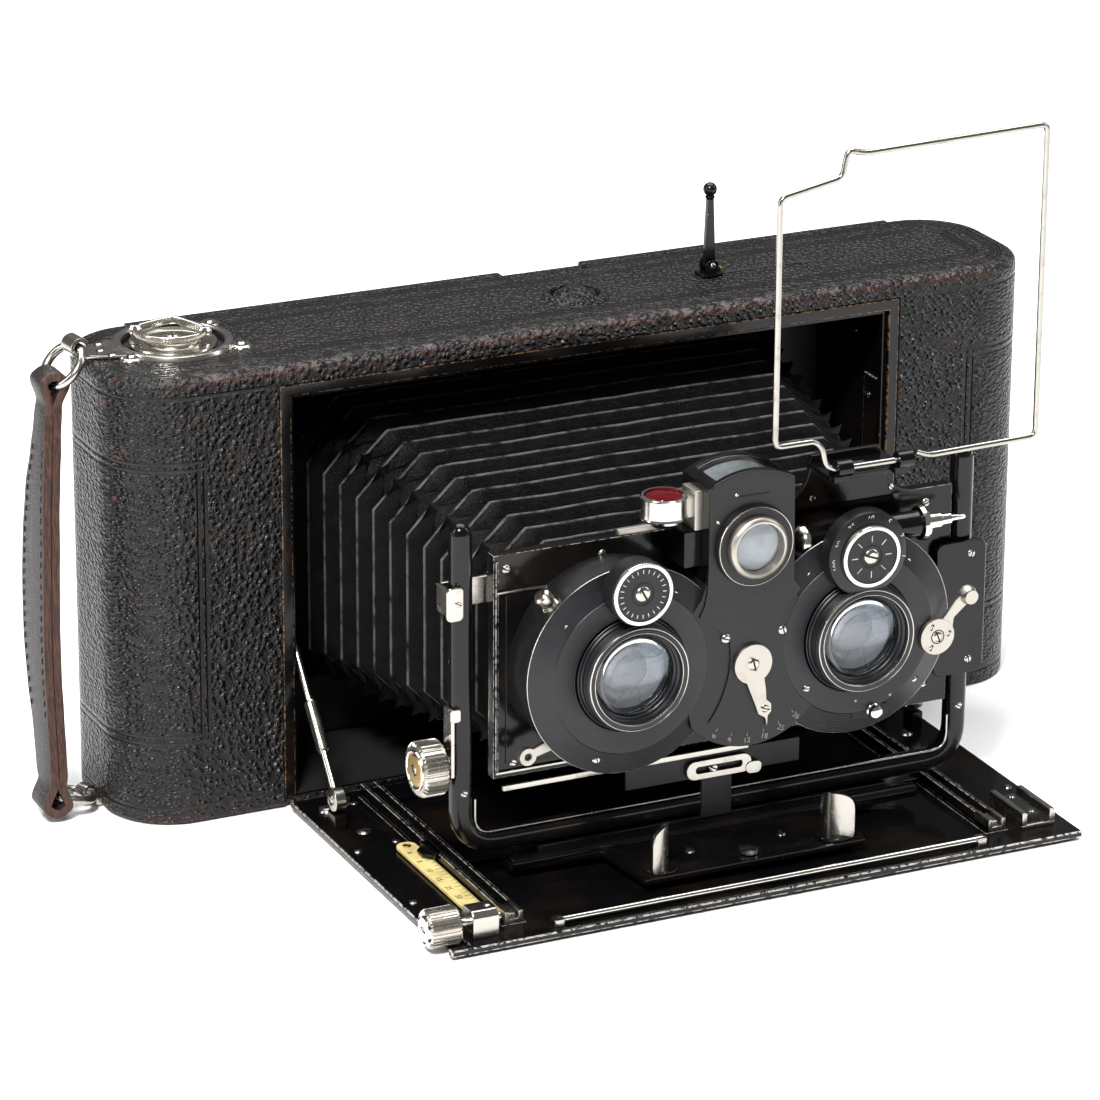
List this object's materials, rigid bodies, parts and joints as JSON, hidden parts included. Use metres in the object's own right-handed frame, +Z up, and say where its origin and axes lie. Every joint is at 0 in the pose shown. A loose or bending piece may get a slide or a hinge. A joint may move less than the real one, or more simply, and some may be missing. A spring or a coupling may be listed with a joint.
{
  "type": "stereo camera",
  "caption": "Folding stereo camera with round-ended leather body, drop bed, bellows, twin-lens shutter, reflex finder and wire frame finder.",
  "frame": {"origin": "middle of the body's underside, on the surface that it stands on", "axes": "+X to the right seen from the front, -Y the front with the lenses, +Z up"},
  "size_m": [0.264, 0.1443, 0.174],
  "materials": {
    "body_leather": "black pebble-grain leather, rubbed brown along the edges",
    "strap_leather": "black strap leather with a brown cut edge",
    "black_enamel": "glossy black stoving enamel",
    "nickel": "worn nickel plate",
    "ruby_glass": "ruby red glass",
    "lens_glass": "clear uncoated glass",
    "mirror": "silvered mirror",
    "bellows_cloth": "thin black bellows leather",
    "spool_wood": "varnished wooden spool core with metal flanges",
    "ivory_scale": "yellowed celluloid scale"
  },
  "bodies": {
    "root": {"left_end_case": "body_leather", "right_end_case": "body_leather", "top_plate": "body_leather", "bottom_plate": "body_leather", "opening_frame": "black_enamel", "film_gate": "black_enamel", "stereo_divider": "black_enamel", "supply_spool": "spool_wood", "key_escutcheon": "nickel", "carrying_strap": "strap_leather", "strap_ring_top": "nickel", "strap_ring_bottom": "nickel", "sight_base": "black_enamel", "bed_hinge_pin": "nickel"},
    "back": {"back_panel": "body_leather", "film_window": "ruby_glass"},
    "catch": {"back_catch": "nickel"},
    "winder": {"winding_disc": "nickel", "take_up_spool": "spool_wood"},
    "key": {"winding_key": "nickel"},
    "release_button": {"bed_release_button": "body_leather"},
    "sight": {"rear_sight": "black_enamel"},
    "bed": {"bed_panel": "black_enamel", "distance_scale": "ivory_scale", "front_rod": "nickel", "focus_bearing": "nickel", "bed_end_block": "nickel"},
    "left_strut": {"strut_left": "nickel"},
    "right_strut": {"strut_right": "nickel"},
    "focus_shaft": {"focus_knob": "nickel"},
    "carriage": {"focus_carriage": "black_enamel"},
    "standard": {"standard_foot": "black_enamel", "u_frame": "black_enamel", "bellows": "bellows_cloth"},
    "left_grip": {"finger_grip_left": "nickel"},
    "right_grip": {"finger_grip_right": "nickel"},
    "rise_shaft": {"rise_knob": "nickel"},
    "lock_slide": {"shift_lock": "nickel"},
    "front": {"lens_board": "black_enamel", "shutter_case": "black_enamel", "shutter_face": "black_enamel", "lens_barrel_left": "black_enamel", "lens_barrel_right": "black_enamel", "lens_left": "lens_glass", "lens_right": "lens_glass", "cover_disc": "black_enamel", "air_cylinder": "black_enamel", "finder_housing": "black_enamel", "finder_lens": "lens_glass", "finder_mirror": "mirror", "finder_window": "lens_glass", "level_cup": "nickel", "level_vial": "ruby_glass", "frame_bracket": "black_enamel"},
    "cocker": {"cocking_lever": "nickel"},
    "releaser": {"release_lever": "nickel"},
    "pointer": {"aperture_pointer": "nickel"},
    "selector": {"mode_selector": "nickel"},
    "dial": {"speed_dial": "black_enamel"},
    "frame_finder": {"frame_finder_wire": "nickel"}
  },
  "joints": [
    {"name": "bed_fold", "type": "hinge", "parent": "root", "child": "bed", "pos_m": [0, -0.0241, 0.0012], "axis": [-1, 0, 0], "range_deg": [0, 28], "deforming": ["bellows"]},
    {"name": "strut_left_swing", "type": "hinge", "parent": "bed", "child": "left_strut", "pos_m": [-0.0784, -0.0445, 0.0096], "axis": [1, 0, 0], "range_deg": [0, 28.2]},
    {"name": "strut_right_swing", "type": "hinge", "parent": "bed", "child": "right_strut", "pos_m": [0.0784, -0.0445, 0.0096], "axis": [1, 0, 0], "range_deg": [0, 28.2]},
    {"name": "focus", "type": "slide", "parent": "bed", "child": "carriage", "axis": [0, -1, 0], "range_m": [0, 0.007], "deforming": ["bellows"]},
    {"name": "focus_knob_turn", "type": "hinge", "parent": "bed", "child": "focus_shaft", "pos_m": [0, -0.1135, 0.0056], "axis": [-1, 0, 0], "range_deg": [0, 134]},
    {"name": "standard_slide", "type": "slide", "parent": "carriage", "child": "standard", "axis": [0, -1, 0], "range_m": [-0.075, 0], "deforming": ["bellows"]},
    {"name": "left_grip_squeeze", "type": "slide", "parent": "standard", "child": "left_grip", "axis": [1, 0, 0], "range_m": [0, 0.003], "stiffness_N_per_m": 900},
    {"name": "right_grip_squeeze", "type": "slide", "parent": "standard", "child": "right_grip", "axis": [-1, 0, 0], "range_m": [0, 0.003], "stiffness_N_per_m": 900},
    {"name": "rise", "type": "slide", "parent": "standard", "child": "front", "axis": [0, 0, 1], "range_m": [-0.004, 0.008], "deforming": ["bellows"]},
    {"name": "rise_knob_turn", "type": "hinge", "parent": "standard", "child": "rise_shaft", "pos_m": [0, -0.087, 0.033], "axis": [1, 0, 0], "range_deg": [-57.5, 115]},
    {"name": "shift_lock_slide", "type": "slide", "parent": "standard", "child": "lock_slide", "axis": [1, 0, 0], "range_m": [0, 0.005]},
    {"name": "cocking_lever_turn", "type": "hinge", "parent": "front", "child": "cocker", "pos_m": [0.0506, -0.104, 0.051], "axis": [0, 1, 0], "range_deg": [0, 55]},
    {"name": "release_lever_press", "type": "hinge", "parent": "front", "child": "releaser", "pos_m": [-0.0394, -0.0948, 0.0396], "axis": [0, 1, 0], "range_deg": [0, 10], "stiffness_Nm_per_rad": 0.02},
    {"name": "aperture_turn", "type": "hinge", "parent": "front", "child": "pointer", "pos_m": [0.0015, -0.104, 0.0526], "axis": [0, 1, 0], "range_deg": [-28, 60]},
    {"name": "mode_selector_slide", "type": "slide", "parent": "front", "child": "selector", "axis": [1, 0, 0], "range_m": [-0.0035, 0.0015]},
    {"name": "speed_dial_turn", "type": "hinge", "parent": "front", "child": "dial", "pos_m": [0.0295, -0.1033, 0.0764], "axis": [0, -1, 0], "range_deg": [0, 300]},
    {"name": "frame_finder_fold", "type": "hinge", "parent": "front", "child": "frame_finder", "pos_m": [0, -0.103, 0.097], "axis": [1, 0, 0], "range_deg": [0, 150]},
    {"name": "winding_turn", "type": "hinge", "parent": "root", "child": "winder", "pos_m": [-0.099, 0.004, 0.112], "axis": [0, 0, 1], "continuous": true},
    {"name": "winding_key_fold", "type": "hinge", "parent": "winder", "child": "key", "pos_m": [-0.099, 0.0055, 0.1155], "axis": [-0.8829, 0.4695, 0], "range_deg": [0, 75]},
    {"name": "rear_sight_fold", "type": "hinge", "parent": "root", "child": "sight", "pos_m": [0.0417, 0, 0.1149], "axis": [0, 1, 0], "range_deg": [0, 88]},
    {"name": "bed_release_press", "type": "slide", "parent": "root", "child": "release_button", "axis": [0, 0, -1], "range_m": [0, 0.0012], "stiffness_N_per_m": 900},
    {"name": "back_slide", "type": "slide", "parent": "root", "child": "back", "axis": [0, 0, 1], "range_m": [0, 0.1]},
    {"name": "back_catch_slide", "type": "slide", "parent": "root", "child": "catch", "axis": [0, 0, -1], "range_m": [0, 0.0015], "stiffness_N_per_m": 800}
  ],
  "couplings": [
    {"joint": "strut_left_swing", "follows": "bed_fold", "ratio": 1},
    {"joint": "strut_right_swing", "follows": "bed_fold", "ratio": 1},
    {"joint": "focus_knob_turn", "follows": "focus", "rad_per_m": 333.33},
    {"joint": "rise_knob_turn", "follows": "rise", "rad_per_m": 250}
  ]
}
